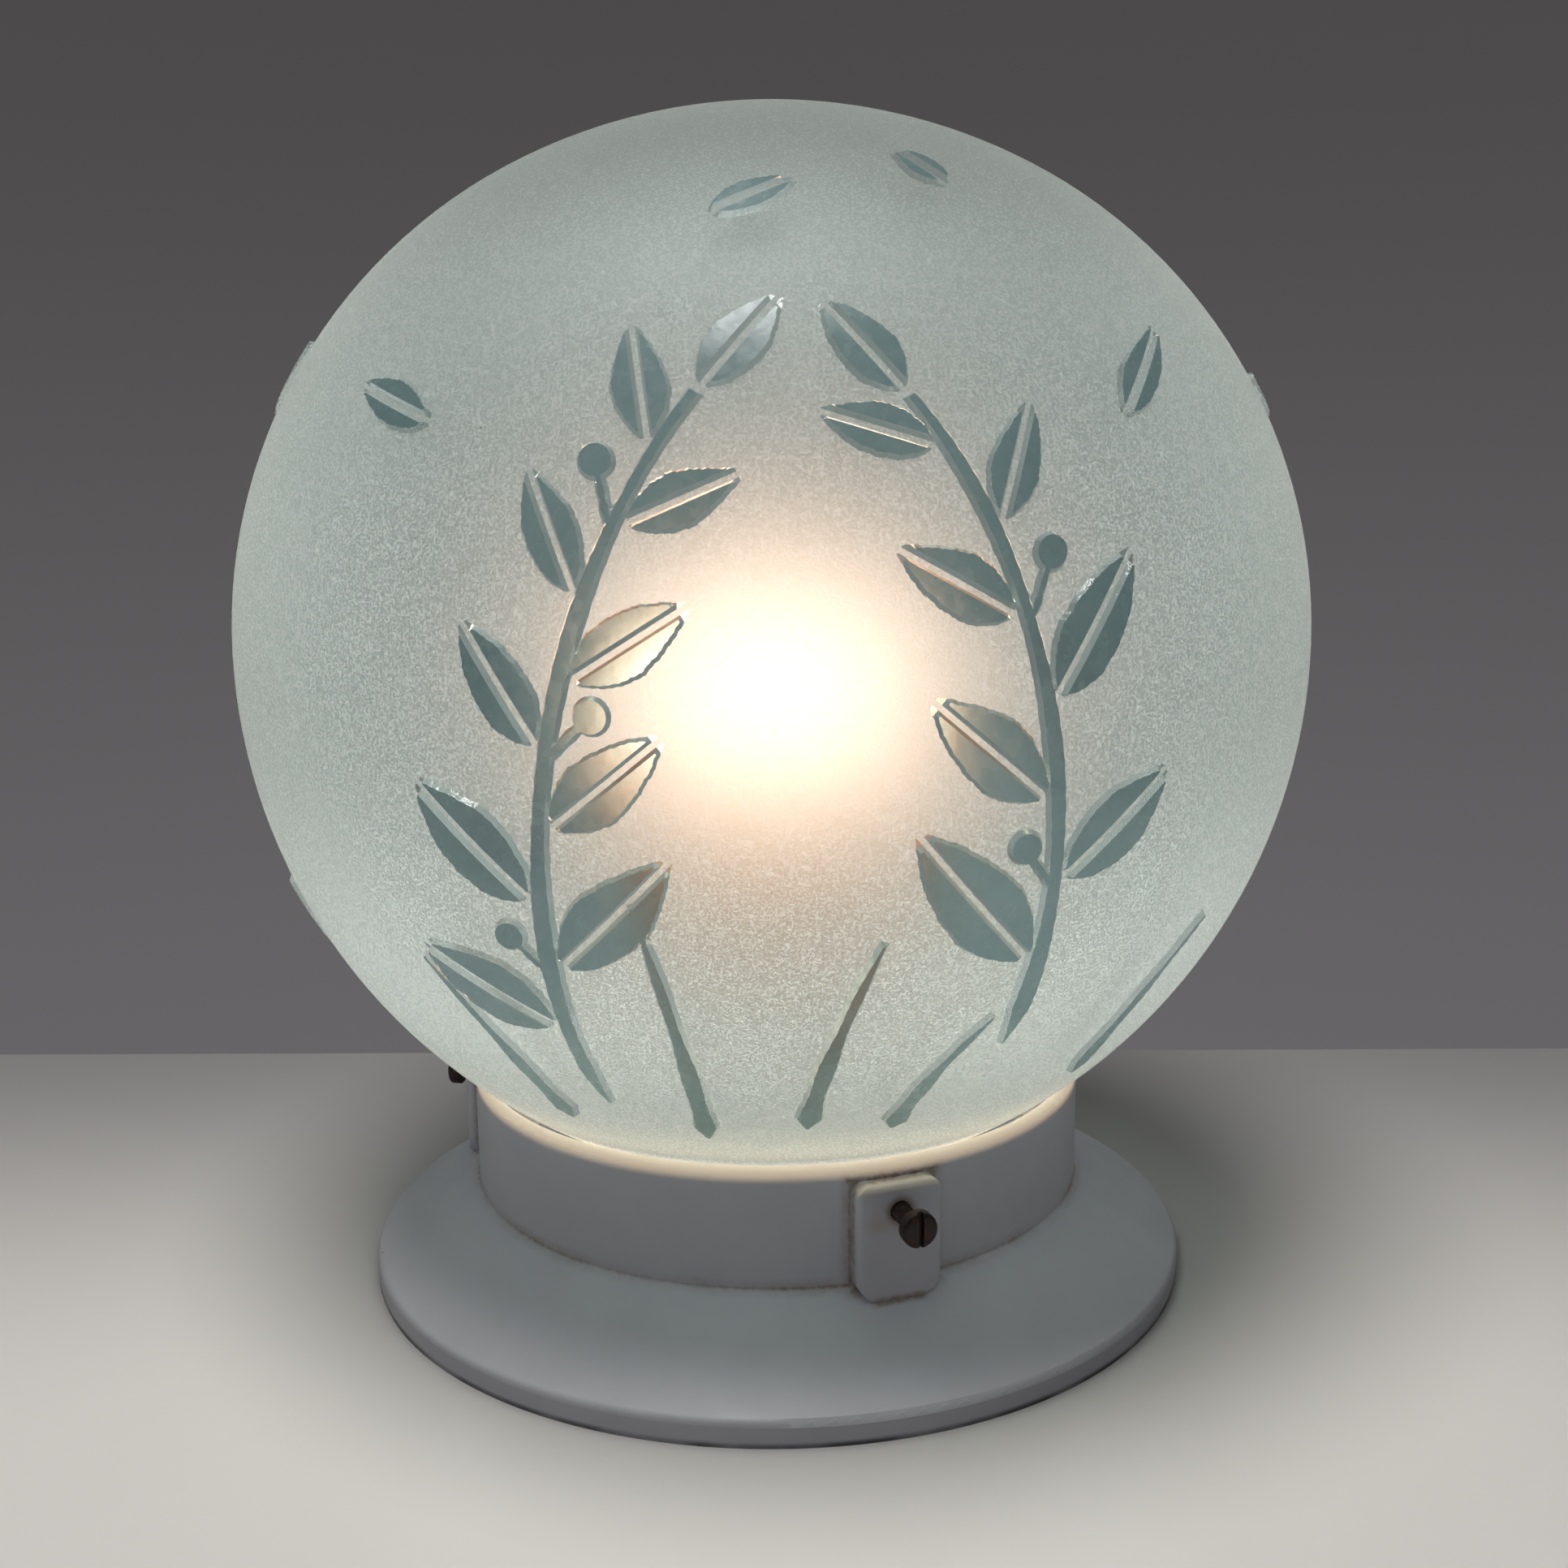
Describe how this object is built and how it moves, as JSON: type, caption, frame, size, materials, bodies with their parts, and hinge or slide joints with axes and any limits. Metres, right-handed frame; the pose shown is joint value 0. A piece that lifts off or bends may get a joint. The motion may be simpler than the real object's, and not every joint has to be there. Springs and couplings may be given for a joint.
{
  "type": "ceiling globe lamp",
  "caption": "Flush ceiling lamp: a frosted, relief-decorated glass globe held by slotted screws in the collar of a flared white moulded base, with a porcelain lampholder and a bulb inside.",
  "frame": {"origin": "middle of the base's ceiling face, on the lamp's axis", "axes": "+Z along the lamp's axis from the ceiling face to the globe's crown, +Y away from the picture's viewer, +X to the viewer's right"},
  "size_m": [0.2, 0.2, 0.221],
  "materials": {
    "moulding": "satin white, slightly yellowed, dirty in the corners",
    "globe_glass": "pale aqua glass, sandblasted, with clear raised relief",
    "old_steel": "rusted dark",
    "brass": "dull brass",
    "bronze": "spring bronze",
    "plated_steel": "zinc plated",
    "porcelain": "glazed white porcelain",
    "bulb_glass": "inside-frosted bulb glass",
    "cap_metal": "rolled cap metal",
    "black_glass": "black cap glass",
    "solder": "dull solder",
    "stem_glass": "clear glass",
    "wire": "nickel wire",
    "tungsten": "coiled tungsten"
  },
  "bodies": {
    "base_unit": {"base": "moulding", "boss_inserts": "brass", "lampholder_body": "porcelain", "lampholder_screws": "plated_steel", "lampholder_nuts": "plated_steel", "screw_shell": "brass", "shell_rivet": "brass", "centre_contact": "bronze", "contact_rivet": "brass", "live_terminal": "brass", "neutral_terminal": "brass", "terminal_screws": "plated_steel"},
    "globe_unit": {"globe": "globe_glass"},
    "bulb_unit": {"bulb_glass": "bulb_glass", "bulb_cap": "cap_metal", "cap_insulator": "black_glass", "cap_contact": "solder", "bulb_stem": "stem_glass", "lead_wires": "wire", "filament_supports": "wire", "filament": "tungsten"},
    "right_screw": {"fixing_screw_right": "old_steel"},
    "front_screw": {"fixing_screw_front": "old_steel"},
    "left_screw": {"fixing_screw_left": "old_steel"}
  },
  "joints": [
    {"name": "globe_lift", "type": "slide", "parent": "base_unit", "child": "globe_unit", "axis": [0, 0, 1], "range_m": [0, 0.135]},
    {"name": "bulb_unscrew", "type": "slide", "parent": "base_unit", "child": "bulb_unit", "axis": [0, 0, 1], "range_m": [0, 0.027]},
    {"name": "right_screw_drive", "type": "slide", "parent": "base_unit", "child": "right_screw", "axis": [0.6361, 0.7716, 0], "range_m": [-0.0036, 0.0068]},
    {"name": "front_screw_drive", "type": "slide", "parent": "base_unit", "child": "front_screw", "axis": [0.3502, -0.9367, 0], "range_m": [-0.0059, 0.0045]},
    {"name": "left_screw_drive", "type": "slide", "parent": "base_unit", "child": "left_screw", "axis": [-0.9863, 0.165, 0], "range_m": [-0.0029, 0.0075]}
  ]
}
